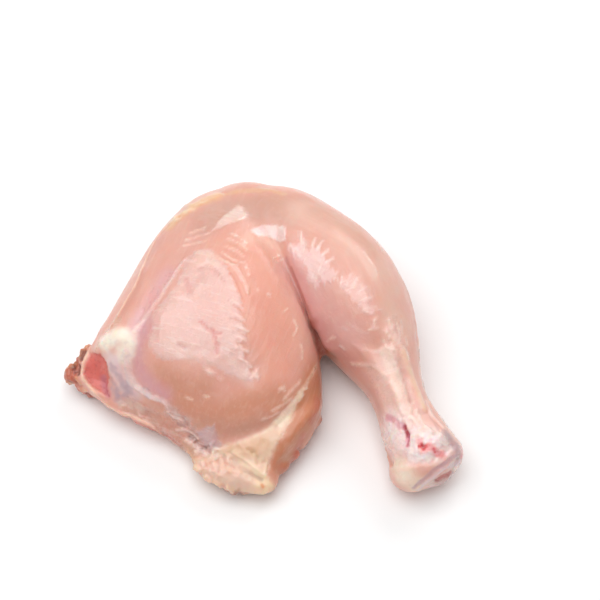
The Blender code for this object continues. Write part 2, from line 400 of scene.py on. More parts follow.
def fineSkin(node, build):
    bm = bmesh.new()
    bm.from_mesh(node.data)
    bmesh.ops.remove_doubles(bm, verts=bm.verts, dist=build["merge"] * mm)
    mesh = bpy.data.meshes.new("legMeat")
    bm.to_mesh(mesh)
    bm.free()
    leg = bpy.data.objects.new("legMeat", mesh)
    scene.collection.objects.link(leg)
    rounded = leg.modifiers.new("rounded", "SUBSURF")
    rounded.levels = rounded.render_levels = build["rounding"]
    fine = leg.modifiers.new("fine", "REMESH")
    fine.mode = "VOXEL"
    fine.voxel_size = build["voxel"] * mm
    even = leg.modifiers.new("even", "SMOOTH")
    even.iterations = build["evening"]
    bakeShape(leg)
    coarse = Skin(leg)
    inside = np.zeros(coarse.count, bool)
    for mark in build["finer"]:
        inside |= coarse.stroke(mark["paths"][0], mark)[0] > 0
    bm = bmesh.new()
    bm.from_mesh(leg.data)
    bm.verts.ensure_lookup_table()
    edges = [edge for edge in bm.edges if inside[edge.verts[0].index] and inside[edge.verts[1].index]]
    bmesh.ops.subdivide_edges(bm, edges=edges, cuts=1, smooth=build["bulge"], use_grid_fill=True)
    bmesh.ops.triangulate(bm, faces=[face for face in bm.faces if len(face.verts) > 4])
    bm.to_mesh(leg.data)
    bm.free()
    return leg


# marks on the meat, drawn in this order. Of a line: reach, its half width, and ragged and grit, how uneven
# its edge is and in waves of which size (all in mm, but in pixels for a patch, with edge the width in which
# it fades). Of both: the tone as on screen and how strongly it covers; in mm, the rise, the ledge by which
# its left side stands over the right, and the height of torn shreds and wrinkles; and from 0 to 1 how much
# of the skin there is fat, film, raw flesh, gristle or muscle
legMarks = {
    # thigh
    "thighPeach": line((250, 262), (272, 330), (262, 395), reach=17, tone=(233, 168, 147), strength=0.8),
    # the next three marks darken the lower thigh: partly the meat's own tan, partly painted shade on the
    # lower slopes that face the front
    "thighTanShade": line((165, 400), (215, 418), (275, 402), reach=11, tone=(211, 147, 117), strength=0.75),
    "thighLeftTanShade": line((160, 374), (182, 384), (205, 388), reach=7, soft=1.0, tone=(204, 138, 108),
        strength=0.55),
    "thighLowShade": line((200, 422), (240, 428), (262, 418), reach=5, tone=(206, 152, 132), strength=0.6),
    "band": line((225, 208), (188, 243), (158, 290), (138, 325), reach=9, tone=(226, 174, 160), strength=0.8),
    "bandLilac": line((168, 275), (152, 300), (138, 324), reach=6, tone=(226, 178, 180), film=0.3),
    "bandRim": line((160, 240), (146, 262), (136, 288), (122, 312), reach=4, tone=(216, 156, 140)),
    "mauveEdge": line((146, 326), (138, 345), (138, 364), (147, 381), (164, 394), reach=6.5, soft=1.0,
        tone=(218, 163, 168), strength=0.85),
    "kneeCream": line((205, 222), (240, 208), (290, 212), reach=10, tone=(209, 165, 149), strength=0.8,
        film=0.2, muscle=0.2),
    # painted shade: a darker tone on the top of the knee where it falls away at the back
    "kneeBackShade": line((262, 198), (300, 200), (335, 215), (360, 232), reach=7, soft=1.0, tone=(210, 162, 143),
        strength=0.55),
    "kneePeach": line((246, 240), (262, 238), (276, 252), reach=5, tone=(238, 188, 168), strength=0.6),
    "sheenGround": line((200, 275), (190, 320), (225, 340), (240, 365), reach=11, tone=(219, 165, 150),
        strength=0.8),
    "sheen": patch((190, 255), (202, 248.6), (212, 249.3), (217, 259.3), (224.3, 263.6), (229, 272),
        (234, 281), (238, 292), (242, 303.6), (236, 304.6), (241.4, 315), (243.6, 326.4), (248, 338),
        (241, 343.6), (245, 358), (249, 368), (253, 382), (245, 380.7), (234, 376), (221, 371),
        (213.6, 364.3), (203.6, 364.3), (192, 358.6), (185, 359.5), (171, 360.7), (158, 358), (149.3, 346.4),
        (148.6, 335), (153.6, 323.6), (152, 315), (163.6, 299.3), (176.4, 285), (182, 269.3), ragged=2.5,
        grit=(9.0, 2.5), edge=1.6, tone=(232, 194, 186), rise=0.1, film=0.8),
    "sheenLeft": line((134, 331), (150, 312), (165, 291), (178, 270), (186, 260), reach=1.5, ragged=0.3,
        tone=(245, 213, 204), strength=0.6, rise=0.25, film=0.8),
    "sheenCream": line((196, 262), (206, 256), (214, 262), reach=4, tone=(242, 212, 196), strength=0.5),
    "sheenPale": lines(((156, 345), (180, 353), (215, 362), (240, 373), (250, 381)),
        ((180, 290), (192, 273), (204, 262)), reach=4.5, soft=1.0, tone=(242, 208, 198), strength=0.5),
    "sheenRosy": lines(((148, 322), (151, 332)), ((186, 279), (190, 291)), reach=1.6, tone=(226, 168, 160),
        strength=0.6, rise=-0.12),
    "sheenFork": lines(((200, 321), (208, 329), (214, 335), (217, 345), (217, 353)),
        ((212, 329), (216, 334), (221, 333)), reach=0.9, ragged=0.3, tone=(222, 142, 134), strength=0.75,
        rise=-0.3),
    "sheenCracks": lines(((198, 269), (208, 266), (217, 271), (224, 281)), ((178, 345), (184, 348)),
        ((228, 300), (236, 306), (243, 308)), ((231, 318), (240, 322)), ((232, 330), (238, 340), (241, 350)),
        reach=0.7, ragged=0.2, tone=(216, 160, 150), strength=0.6, rise=-0.2),
    "sheenFeathers": lines(((231, 301), (237, 304), (242, 308)), ((232, 313), (239, 316), (245, 320)),
        ((236, 326), (242, 328), (248, 331)), ((235, 336), (241, 338), (246, 341)),
        ((236, 347), (242, 349), (248, 352)), ((240, 359), (246, 362), (251, 367)), reach=0.9, ragged=0.3,
        tone=(244, 210, 200), strength=0.6, rise=0.15, film=0.8),
    "sheenFeatherGaps": lines(((233, 306), (239, 309), (244, 313)), ((235, 319), (240, 321), (246, 325)),
        ((237, 331), (242, 333), (247, 336)), ((236, 342), (241, 344), (247, 347)), reach=0.8, ragged=0.2,
        tone=(226, 162, 143), strength=0.6, rise=-0.12),
    "sheenChips": lines(((203, 367), (208, 370)), ((209, 372), (214, 374)), ((218, 377), (222, 379)),
        ((257, 370), (258, 379)), ((254, 374), (252, 379)), reach=1.1, ragged=0.4, tone=(243, 206, 196),
        rise=0.15, film=1.0),
    # a raised fold in the membrane, with a painted highlight along it
    "foldRightHighlight": line((227, 262), (238, 272), (245, 284), (248, 293), reach=1.1, ragged=0.5,
        tone=(247, 200, 186), strength=0.6, rise=0.28, film=0.7),
    "foldGap": line((231, 274), (238, 286), (242, 298), reach=1.0, tone=(228, 155, 134), rise=-0.25),
    "kneeRipples": lines(((222, 252), (231, 258), (241, 262)), ((226, 246), (236, 250), (244, 257)),
        ((228, 239), (238, 243), (247, 250)), ((232, 233), (241, 238), (246, 243)),
        ((218, 257), (228, 263), (237, 265)), ((190, 233), (205, 228)), ((186, 240), (200, 236), (212, 232)),
        ((183, 246), (196, 243), (206, 241)), ((244, 262), (247, 268), (248, 275)), reach=0.7, ragged=0.4,
        tone=(247, 214, 196), strength=0.6, rise=0.13, film=0.8),
    "kneeRippleGaps": lines(((219, 254), (229, 261), (239, 266)), ((224, 249), (234, 254), (243, 260)),
        ((228, 243), (237, 247), (245, 253)), reach=0.6, tone=(216, 158, 140), strength=0.35, rise=-0.08),
    # painted highlights: two pale, glossier film patches on the knee, painted light as the reflections of the
    # light in them
    "kneeHighlightLeft": patch((239, 205), (247, 214), (246, 218), (228, 224), (212, 231), (220, 219), ragged=1.5,
        grit=(5.0, 2.5), edge=2.0, tone=(244, 217, 206), strength=0.75, rise=0.15, film=1.0),
    "kneeHighlightRight": patch((251, 230), (262, 225), (272, 225), (286, 227), (286, 239), (280, 243),
        (270, 237), (258, 236), ragged=1.5, grit=(4.0, 4.0), edge=1.6, tone=(243, 216, 211), strength=0.8,
        rise=0.15, film=1.0),
    "thighGlints": lines(((294, 321), (297, 328)), ((297, 329), (294, 335)), ((301, 345), (303, 352)),
        ((303, 352), (302, 359)), ((273, 258), (279, 256)), ((276, 262), (284, 259)),
        ((257, 289), (258, 290)), ((268, 294), (271, 296)), ((284, 311), (287, 309)),
        ((186, 397), (192, 400)), ((205, 396), (210, 398)), ((280, 388), (285, 391)), reach=0.7, ragged=0.2,
        tone=(250, 214, 196), rise=0.15, film=1.0),

    # fat along the top edge
    "edgeFat": line((172, 224), (183, 214), (198, 204), (216, 197), reach=4.6, ragged=1.0,
        tone=(234, 192, 150), strength=0.9, rise=0.4, fat=1.0, muscle=0.0),
    "edgeFatPale": lines(((174, 217), (179, 220)), ((188, 212), (193, 210)), ((183, 207), (188, 206)),
        ((196, 206), (200, 204)), reach=1.6, ragged=1.2, soft=1.0, tone=(248, 220, 194), strength=0.6,
        rise=0.3, fat=0.7),
    "edgeFatThin": line((216, 196), (240, 191), (266, 190), (284, 194), reach=2.2, ragged=0.8,
        tone=(230, 186, 152), strength=0.75, fat=0.6),
    "edgeLine": line((171, 223), (160, 234), (151, 248), (143, 266), (136, 284), (122, 308), (110, 328),
        reach=1.0, ragged=0.3, tone=(248, 208, 186), strength=0.75, rise=0.3, fat=0.4),

    # hip end
    "hipFilm": line((116, 320), (106, 334), (98, 345), reach=4.0, ragged=1.2, tone=(222, 174, 152),
        strength=0.8, torn=0.3, film=0.6, muscle=0.0),
    "gristleCap": line((106, 342), (118, 335), (127, 343), (122, 358), reach=5.5, ragged=0.8,
        tone=(254, 246, 230), strength=0.95, rise=0.3, gristle=0.9, muscle=0.0),
    "gristleGrey": line((112, 362), (121, 378), (131, 394), reach=6.5, ragged=1.2, tone=(230, 206, 206),
        strength=0.85, gristle=0.8, muscle=0.0),
    "gristleBlue": lines(((112, 381), (117, 388), (118, 394)), ((118, 375), (123, 384), (126, 394)),
        ((127, 387), (131, 392)), ((112, 366), (114, 372)), ((146, 392), (148, 396)),
        ((112, 389), (116, 396), (121, 402)), reach=2.5, ragged=0.9, grit=1.6, soft=1.0, tone=(188, 160, 170),
        strength=0.65, rise=-0.1, gristle=1.0),
    "gristleRidge": line((126, 352), (127, 366), (131, 378), (139, 388), reach=2.2, ragged=0.3,
        tone=(236, 210, 206), strength=0.6, rise=0.3, film=0.6),
    "cutMuscle": patch((90.7, 353), (100, 354), (106, 362), (108.6, 377), (107, 387), (109, 397), (99, 391),
        (88.6, 383), (83.6, 374), (86, 362), ragged=1.5, grit=(3.0, 3.0), edge=2.5, tone=(226, 116, 106),
        strength=0.95, rise=-0.6, torn=0.12, raw=0.7, muscle=0.2),
    "cutMuscleMauve": line((103, 378), (105, 388), (108, 395), reach=2.2, ragged=0.6, tone=(196, 118, 132)),
    "scrap": line((88, 347), (77, 360), (70, 374), (76, 387), reach=5.0, ragged=1.0, soft=0.5,
        tone=(186, 88, 56), strength=0.9, torn=1.2, raw=0.35, muscle=0.0),
    "scrapOut": line((67, 371), (68, 380), (72, 388), (80, 395), reach=3.6, ragged=0.8, tone=(188, 104, 74),
        rise=1.0, torn=1.0),
    "scrapOlive": lines(((86, 349), (80, 357)), ((76, 360), (72, 367)), reach=2.0, ragged=0.8,
        tone=(170, 124, 90), rise=0.3),
    "scrapDark": lines(((79, 366), (78, 374)), ((84, 352), (81, 359)), ((71, 381), (74, 386)),
        ((73, 367), (75, 372)), ((84, 392), (88, 395)), reach=1.5, ragged=0.8, tone=(120, 54, 44),
        strength=0.8, rise=-0.7, raw=0.8),
    "scrapPale": lines(((67, 370), (70, 364)), ((86, 349), (90, 346)), ((68, 383), (70, 388)),
        ((77, 378), (80, 384)), ((80, 388), (86, 390)), reach=1.4, ragged=0.8, tone=(228, 170, 128),
        rise=0.5),
    "scrapLow": line((78, 387), (86, 393), (95, 399), reach=3.2, ragged=0.8, tone=(212, 146, 132),
        strength=0.8, torn=0.6, muscle=0.0),
    # painted shade: a darker band on the meat under the rim, down to the table
    "underRim": line((98, 402), (126, 422), (153, 439), (186, 466), reach=3.2, tone=(204, 140, 128),
        strength=0.8, torn=0.25),
    "underRimRed": line((125, 417), (138, 425), (153, 431), reach=1.6, ragged=0.4, tone=(206, 124, 116),
        strength=0.8),
    "hipSlope": line((130, 405), (162, 426), (190, 450), reach=6.0, ragged=1.0, tone=(198, 145, 128),
        wrinkled=0.2, film=0.5, muscle=0.2),
    "gristleLow": line((122, 404), (129, 404), (139, 408), reach=3.0, ragged=1.2, soft=1.0,
        tone=(226, 194, 180), wrinkled=0.15, gristle=0.3, muscle=0.0),
    "rim": line((91, 348), (84, 362), (81.5, 374), (86, 383), (96, 394), (117, 411), (137, 419), (152, 427),
        (174, 446), (186, 457), (195, 468), reach=1.0, ragged=0.4, tone=(246, 206, 182), strength=0.85,
        rise=0.15, ledge=0.4, film=0.5),
    "whiteStreak": line((137, 388), (149, 395), (163, 401), (174, 411), reach=1.7, ragged=0.9,
        tone=(246, 226, 224), strength=0.65, rise=0.2, film=1.0, gristle=0.4),
    "slopeFilm": line((172, 412), (188, 426), (202, 444), (213, 452), reach=5.0, ragged=1.4,
        tone=(202, 158, 148), strength=0.75, wrinkled=0.45, film=1.0, muscle=0.0),
    "slopeStrands": lines(((168, 412), (178, 419), (186, 420)), ((176, 430), (188, 430), (198, 438)),
        ((186, 441), (196, 447), (206, 455)), ((195, 452), (207, 449), (214, 441)), reach=0.8, ragged=0.5,
        tone=(244, 214, 204), strength=0.6, rise=0.25, film=1.0),
    "slopePockets": lines(((178, 424), (184, 426)), ((190, 436), (196, 441)), ((183, 417), (188, 424)),
        reach=1.3, ragged=0.4, tone=(176, 128, 120), strength=0.6, rise=-0.35),
    "blueFilm": patch((197, 431), (206, 427), (214, 425), (218, 437), (221, 446), (215, 453), (204, 446),
        ragged=2.0, grit=(3.0, 5.0), edge=5.0, tone=(208, 176, 180), rise=0.15, film=1.0),
    "brownSpot": lines(((201, 450), (206, 448), (209, 446)), ((203, 444), (206, 449)), reach=1.2, ragged=0.4,
        soft=1.0, tone=(156, 104, 96), strength=0.55, rise=-0.2),

    # fat wedge at the lower corner and the flank beside it
    "flank": line((314, 380), (304, 415), (292, 440), (281, 464), reach=11, tone=(202, 132, 94),
        strength=0.9),
    "flankWall": line((13, -44, 10), (18, -33, 11), (21, -21, 12), (22, -7, 13), reach=9, soft=1.0,
        tone=(204, 134, 100), strength=0.85),
    "flankUnder": line((10, -49, 2), (16, -38, 2), (20, -24, 2), (21, -8, 2), reach=6, ragged=1.0,
        tone=(184, 112, 92), strength=0.75, torn=0.35),
    "flankFlaps": lines(((281, 468), (289, 466)), ((292, 461), (296, 454)), ((316, 428), (320, 422)),
        reach=2.6, ragged=0.8, tone=(184, 116, 94), rise=1.0),
    "flankNicks": lines(((290, 469), (291, 466)), ((301, 452), (299, 449)), reach=1.2, ragged=0.4,
        tone=(178, 104, 88), strength=0.5, rise=-0.6),
    "flankRed": lines(((303, 436), (297, 450), (291, 466)), ((317, 400), (312, 420)), reach=3.0, ragged=0.8,
        tone=(198, 114, 96), strength=0.65, torn=0.25),
    "wedge": patch((216, 451), (230, 446), (250, 438), (265, 431), (276, 421), (288, 408), (300, 394),
        (303, 392), (289, 421), (281, 434), (272, 451), (266, 471), (273, 486), (268, 496), (254, 497),
        (236, 492), (224, 485), (207, 480), (194, 469), (192, 458), (205, 456), ragged=2.0, grit=(4.0, 4.0),
        edge=3.0, tone=(238, 206, 180), strength=0.9, fat=0.8, muscle=0.0),
    "wedgeUnder": line((-31, -49, 2), (-20, -57, 2), (-8, -61, 2), (2, -60, 2), reach=5.5, ragged=1.0,
        tone=(220, 180, 150), strength=0.85, torn=0.3, fat=0.6, muscle=0.0),
    "wedgeLow": line((208, 470), (226, 477), (244, 483), reach=5, tone=(228, 192, 174)),
    "wedgeEnd": line((262, 482), (268, 488), (266, 493), reach=4.5, tone=(240, 214, 176)),
    "wedgePale": patch((275, 421), (289, 405), (303, 386), (307, 387), (288, 420), (280, 430), ragged=2.0,
        grit=(6.0, 3.0), edge=2.5, tone=(247, 224, 202), strength=0.8, rise=0.15, fat=0.3, film=0.8),
    "wedgeTop": line((214, 451), (230, 445), (250, 438), (265, 431), (276, 421), (288, 408), (300, 394),
        reach=1.6, ragged=0.6, tone=(247, 218, 194), strength=0.5, rise=0.1, ledge=-0.3),
    "wedgeFeathers": lines(((262, 419), (270, 417), (278, 413)), ((272, 411), (284, 404), (292, 398)),
        ((284, 399), (292, 390), (300, 381)), ((279, 391), (284, 387)), reach=0.9, ragged=0.4,
        tone=(249, 214, 194), strength=0.55, rise=0.12, film=0.8),
    "wedgeMid": line((232, 452), (246, 450), (262, 443), reach=4.0, ragged=0.8, tone=(229, 184, 148),
        strength=0.6),
    "wedgeSheet": line((234, 455), (243, 460), (252, 467), (262, 475), reach=3.0, ragged=0.8, soft=1.0,
        tone=(249, 226, 198), ledge=0.35, fat=0.4),
    "wedgeValley": line((233, 461), (242, 468), (252, 475), (262, 480), reach=2.8, soft=1.0, rise=-0.7),
    # painted shadow under the edge of the folded fat sheet
    "wedgeFoldShadow": line((239, 467), (246, 471), (254, 476), (262, 479.5), reach=1.2, ragged=0.6, soft=1.0,
        tone=(184, 138, 112), strength=0.55, rise=-0.15),
    "wedgeCrumple": patch((198, 455), (216, 452), (234, 457), (244, 468), (238, 476), (218, 477), (200, 468),
        ragged=3.0, grit=(4.0, 4.0), edge=5.0, tone=(236, 198, 180), strength=0.6, torn=0.45, wrinkled=0.1),
    "wedgeCrease": lines(((253, 453), (257, 458), (258, 463)), ((248, 450), (254, 452)), reach=1.3, soft=1.0,
        tone=(226, 180, 142), strength=0.5, rise=-0.35),
    "wedgeRed": lines(((217, 460), (219, 465), (218, 471)), ((223, 457), (226, 461), (225, 466)),
        ((211, 462), (213, 468)), ((205, 463), (207, 469)), ((229, 463), (232, 467)), reach=1.2, ragged=0.7,
        soft=1.0, tone=(210, 142, 126), strength=0.45, rise=-0.25),
    "wedgeWisps": lines(((225, 470), (229, 467), (234, 470)), ((214, 458), (213, 464), (216, 470)),
        ((221, 459), (222, 465), (221, 471)), ((200, 460), (204, 466), (209, 471)), ((228, 458), (230, 463)),
        reach=0.9, ragged=0.8, soft=1.0, tone=(246, 218, 200), strength=0.4, rise=0.15, film=0.6),
    "wedgeDot": line((262, 485), (263, 487), reach=1.0, tone=(224, 150, 96)),
    "wedgeScrap": lines(((225, 489), (234, 492), (242, 495)), ((231, 494), (238, 498)), reach=2.6, ragged=1.2,
        tone=(158, 92, 68), strength=0.85, rise=0.8, torn=0.8, raw=0.3),
    "wedgeChips": lines(((196, 467), (199, 471)), ((206, 477), (209, 480)), ((216, 482), (220, 485)),
        ((228, 487), (232, 489)), ((245, 495), (250, 497)), reach=1.6, ragged=0.8, tone=(242, 208, 180),
        rise=0.9, fat=0.8),
    "crest": line((317, 364), (309, 379), (300, 394), (289, 421), (281, 434), (272, 451), (266, 472),
        reach=1.3, ragged=0.5, tone=(248, 214, 188), strength=0.6, rise=0.15, ledge=-0.3, film=0.5),

    # drumstick
    "calfPink": line((298, 265), (316, 300), (345, 335), reach=12, tone=(230, 177, 170), strength=0.8),
    "calfShade": line((318, 326), (334, 348), (352, 364), reach=6.5, tone=(214, 150, 141)),
    "calfBeige": line((305, 212), (352, 238), (385, 285), (398, 325), reach=12, tone=(231, 190, 173),
        strength=0.8),
    # painted shade on the top of the drumstick where it falls away at the back
    "calfTopShade": line((316, 212), (345, 226), (370, 250), reach=6.5, tone=(218, 170, 150)),
    "calfEdge": line((388, 240), (407, 275), (416, 315), (419, 345), reach=3.6, tone=(212, 152, 128)),
    "calfOlive": line((402, 266), (407, 283), (411, 302), reach=2.2, soft=1.0, tone=(208, 160, 118),
        strength=0.6),
    "calfSheen": patch((288, 247), (292, 243), (296, 246), (299, 238), (301, 232), (304, 238), (305, 248),
        (309, 252), (315, 247), (318, 243), (320, 252), (325, 258), (331, 267), (336, 275), (331, 281),
        (324, 284), (315, 287), (310, 281), (306, 268), (303, 262), (297, 259), (292, 254), ragged=5.0,
        grit=(2.2, 11.0), edge=3.0, tone=(238, 203, 198), rise=0.1, film=1.0),
    # painted highlight: thin pale spikes along the upper edge of the drumstick's highlight
    "calfHighlightSpikes": lines(((301, 231), (302, 244)), ((312, 246), (315, 238)), ((317, 250), (322, 241)),
        ((322, 256), (328, 250)), ((327, 262), (333, 258)), ((290, 244), (293, 252)),
        ((296, 248), (299, 256)), reach=0.8, ragged=0.3, tone=(246, 216, 208), strength=0.6, rise=0.12,
        film=1.0),
    "calfSheenLow": patch((338, 283), (341, 275), (348, 280), (352, 275), (358, 276), (362, 284), (369, 286),
        (371, 296), (374, 305), (380, 309), (374, 314), (364, 311), (356, 305), (348, 293), ragged=6.0,
        grit=(2.4, 7.0), edge=5.0, tone=(239, 200, 194), strength=0.5, rise=0.08, film=0.8),
    # painted highlight: pale wisps along the edge of the lower highlight on the drumstick
    "calfHighlightWisps": lines(((340, 287), (342, 277)), ((346, 285), (350, 275)), ((352, 287), (357, 279)),
        ((358, 293), (366, 287)), ((363, 301), (372, 297)), ((364, 308), (377, 307)),
        ((362, 311), (373, 314)), ((334, 280), (337, 272)), ((349, 292), (354, 300)), reach=0.8, ragged=0.4,
        soft=1.0, tone=(247, 216, 208), strength=0.6, rise=0.12, film=1.0),
    "calfStrands": lines(((346, 322), (358, 330), (370, 334)), ((352, 344), (364, 350), (378, 352)),
        ((330, 318), (338, 326), (349, 331)), ((357, 246), (368, 258), (377, 272)), reach=0.6, ragged=0.4,
        soft=1.0, tone=(243, 208, 198), strength=0.5, rise=0.1, film=0.8),
    "calfGlints": lines(((373, 326), (376, 318)), ((369, 330), (377, 328)), ((388, 318), (391, 328)),
        ((393, 324), (390, 338)), ((401, 322), (402, 332)), ((396, 334), (398, 345)),
        ((391, 344), (396, 351)), ((403, 349), (407, 355)), ((400, 339), (399, 333)),
        ((328, 341), (334, 337)), ((341, 346), (344, 349)), ((378, 243), (383, 252)),
        ((384, 341), (387, 347)), ((405, 338), (407, 345)), ((389, 320), (390, 329)),
        ((397, 323), (399, 333)), ((394, 335), (395, 345)), ((399, 341), (402, 350)),
        ((390, 348), (392, 356)), ((386, 331), (389, 338)), ((395, 350), (398, 359)), reach=0.8, ragged=0.3,
        tone=(250, 222, 210), strength=0.65, rise=0.16, film=1.0),
    "calfLowSheen": line((392, 322), (397, 340), (402, 356), reach=5.0, ragged=2.0, tone=(238, 196, 182),
        strength=0.4, film=0.8),
    "seamShade": line((292, 262), (299, 278), (307, 296), (315, 314), (322, 332), (326, 346), reach=4.0,
        soft=1.0, tone=(220, 156, 152), strength=0.6, muscle=0.3),
    # painted shade: a dark line in the crease where the thigh overlaps the drumstick
    "seamLine": line((291, 268), (298, 285), (305, 301), (311, 318), (316, 335), (319, 351), reach=1.3,
        soft=1.0, tone=(176, 100, 90), strength=0.65),
    # painted shade in the floor of the crease, which is also dug a little deeper
    "seamFloorShade": line((286, 259), (291, 272), (297, 287), (303, 301), (308, 314), reach=1.7, soft=1.0,
        tone=(204, 134, 126), strength=0.65, rise=-0.25),
    # painted shade: dark tones in the notch at the lower end of the seam, where thigh and drumstick part
    "seamWebShade": line((316, 343), (321, 351), (326, 357), reach=2.6, soft=1.0, tone=(148, 70, 56),
        strength=0.5),
    "seamNotchShade": line((313, 322), (318, 338), (323, 352), reach=3.2, soft=1.0, tone=(160, 74, 58), strength=0.65),

    # shank
    "shankPale": line((384, 376), (397, 402), (408, 428), reach=12, tone=(240, 202, 190), strength=0.8,
        wrinkled=0.12, film=0.5, muscle=0.2),
    "muscleEnd": line((352, 364), (362, 365), (373, 367), (386, 377), reach=1.3, ragged=0.3,
        tone=(246, 210, 196), strength=0.8, rise=0.1, ledge=0.35, film=0.6),
    "shankShade": line((365, 378), (376, 398), (380, 415), reach=4.0, tone=(222, 168, 156), strength=0.6),
    "tendonWide": line((386, 352), (394, 372), (401, 396), (406, 410), reach=3.2, ragged=0.4, soft=0.5,
        tone=(247, 219, 204), strength=0.8, rise=0.4, gristle=0.3),
    "tendonThin": line((403, 352), (410, 370), (417, 390), (424, 408), reach=2.0, ragged=0.4,
        tone=(245, 212, 188), strength=0.8, rise=0.35, gristle=0.2),
    "tendonGap": line((398, 360), (405, 382), (411, 402), reach=1.1, tone=(224, 174, 160), strength=0.6,
        rise=-0.35),
    "shankPeach": line((379, 428), (384, 446), (388, 460), reach=3.4, tone=(234, 180, 158)),

    # knuckle
    "shankWaist": line((430, 398), (437, 411), reach=6, soft=1.0, rise=-1.0),
    "knucklePale": line((392, 430), (412, 444), (440, 446), reach=11, tone=(253, 239, 237), strength=0.8,
        wrinkled=0.3, film=0.6, muscle=0.0),
    "backKnuckle": line((74, -50, 12), (72, -58, 8), (64, -62, 7), reach=8, tone=(246, 226, 220),
        strength=0.8, wrinkled=0.25, film=0.5, muscle=0.0),
    "knucklePad": line((399, 468), (409, 480), (418, 486), reach=7.5, tone=(244, 218, 198), strength=0.9,
        wrinkled=0.05, film=0.3, gristle=0.2, muscle=0.0),
    "padShine": line((397, 463), (403, 469), (406, 476), reach=4.0, ragged=0.6, tone=(252, 232, 216),
        strength=0.6, film=0.8),
    "padRosy": line((416, 466), (424, 464), (432, 460), reach=1.6, ragged=0.5, tone=(238, 184, 170),
        strength=0.6),
    "padCrease": line((386, 452), (389, 459), (392, 464), reach=1.4, tone=(216, 160, 140), strength=0.6,
        rise=-0.6),
    "knuckleGrey": line((448, 436), (456, 447), (460, 457), reach=4.0, ragged=0.6, tone=(180, 153, 156),
        strength=0.85, wrinkled=0.0, gristle=0.8, muscle=0.0),
    "knuckleWhite": line((412, 454), (421, 456), (427, 457), reach=3.2, ragged=0.8, tone=(246, 238, 236),
        strength=0.85, rise=0.25, gristle=0.8),
    "knuckleWhiteTop": line((434, 432), (442, 439), (446, 447), reach=3.4, ragged=0.8, tone=(233, 216, 211),
        strength=0.75, gristle=0.7),
    "shankFold": lines(((416, 411), (422, 424), (433, 432)), ((404, 420), (412, 418), (420, 428)),
        ((426, 402), (433, 416), (444, 428)), ((378, 436), (392, 450), (396, 456)), reach=1.2, ragged=0.3,
        tone=(248, 224, 214), strength=0.6, rise=0.35, film=0.8),
    "pitHalo": line((387, 418), (394, 421), (402, 426), reach=2.0, ragged=0.7, tone=(220, 140, 156),
        strength=0.65, rise=-0.2),
    "pitWall": line((404, 427), (407, 435), (408, 445), reach=1.4, ragged=0.3, tone=(218, 126, 150),
        rise=-0.2),
    "pit": line((404.5, 427), (406, 431), (407.5, 435), reach=1.3, ragged=0.3, tone=(172, 14, 58),
        strength=0.95, rise=-0.4, raw=0.1),
    "pitTail": line((409, 434), (408.5, 441), (407, 446), reach=0.7, tone=(198, 84, 118), strength=0.8,
        rise=-0.15, raw=0.1),
    "bloodGlow": lines(((419, 440), (422, 446), (424, 449)), ((428, 447), (434, 450), (441, 456)), reach=2.4,
        ragged=1.2, tone=(238, 128, 132), raw=0.3),
    "bloodSpot": lines(((419, 446.5), (426, 446.5)), ((421.5, 444), (423.5, 449.5)), reach=1.1, ragged=0.3,
        tone=(214, 24, 38), strength=0.9, rise=-0.12, raw=0.1),
    "bloodSpotDark": line((421.5, 445), (423.5, 447), reach=0.7, tone=(182, 8, 28), rise=-0.15),
    "bloodSpotSmall": line((433.5, 449), (435, 452), reach=0.8, ragged=0.3, tone=(216, 84, 96), strength=0.8,
        rise=-0.1, raw=0.1),
    "jointGroove": line((414, 488), (424, 479), (436, 469), (448, 461), (459, 453), reach=1.2, ragged=0.5,
        tone=(202, 156, 165), rise=-0.3),
    "jointBand": line((419, 489), (430, 479), (442, 470), (454, 464), (461, 458), reach=1.5, ragged=0.5,
        tone=(230, 208, 212), strength=0.8, rise=0.2, gristle=0.5),
    "jointUnder": line((424, 492), (438, 485), (452, 474), reach=2.2, tone=(196, 167, 164), strength=0.75,
        gristle=0.4),
    "jointRed": line((437, 480), (444, 476), (450, 472.5), reach=1.5, ragged=0.6, tone=(196, 104, 100),
        strength=0.8, rise=-0.4, raw=0.3),

    # the far side, by places in mm
    "backThighDark": line((-62, 2, 5), (-50, 24, 6), (-38, 46, 6), (-20, 58, 6), reach=9,
        tone=(210, 132, 118)),
    "backCalfDark": line((14, 62, 5), (38, 50, 5), (54, 30, 5), (60, 6, 5), (64, -14, 6), reach=8,
        tone=(214, 138, 126)),
    "backKnee": line((-14, 60, 20), (2, 64, 18), (18, 60, 17), reach=9, ragged=1.5, tone=(236, 200, 184),
        strength=0.75, rise=0.3, film=0.8),
    "backKneeStrands": lines(((-16, 57, 24), (-4, 62, 20), (10, 63, 15)),
        ((-12, 60, 13), (2, 64, 14), (16, 61, 20)), ((-8, 60, 26), (4, 62, 23), (20, 58, 24)),
        ((-2, 64, 8), (10, 64, 11), (24, 58, 13)), reach=1.1, ragged=0.5, tone=(248, 226, 214), strength=0.6,
        rise=0.3, film=1.0),
    "backKneeFat": lines(((-30, 53, 14), (-25, 57, 8)), ((-21, 57, 17), (-17, 60, 10)),
        ((24, 57, 7), (31, 54, 6)), ((-34, 50, 7), (-29, 54, 3)), reach=2.8, ragged=1.8, soft=1.0,
        tone=(240, 202, 164), rise=0.4, fat=1.0, muscle=0.0),
    "backThighLine": line((-66, -2, 9), (-56, 14, 11), (-45, 34, 12), (-34, 50, 12), reach=1.4, ragged=0.4,
        tone=(246, 214, 192), rise=-0.5, fat=0.4),
    "backThighFilm": lines(((-60, 8, 16), (-52, 22, 17), (-44, 36, 18)), ((-56, 14, 8), (-46, 32, 7)),
        reach=3.2, ragged=1.6, soft=1.0, tone=(236, 198, 186), strength=0.5, rise=0.12, film=0.5),
    "backThighGlints": lines(((-58, 10, 13), (-55, 15, 12)), ((-50, 26, 9), (-49, 28, 5)),
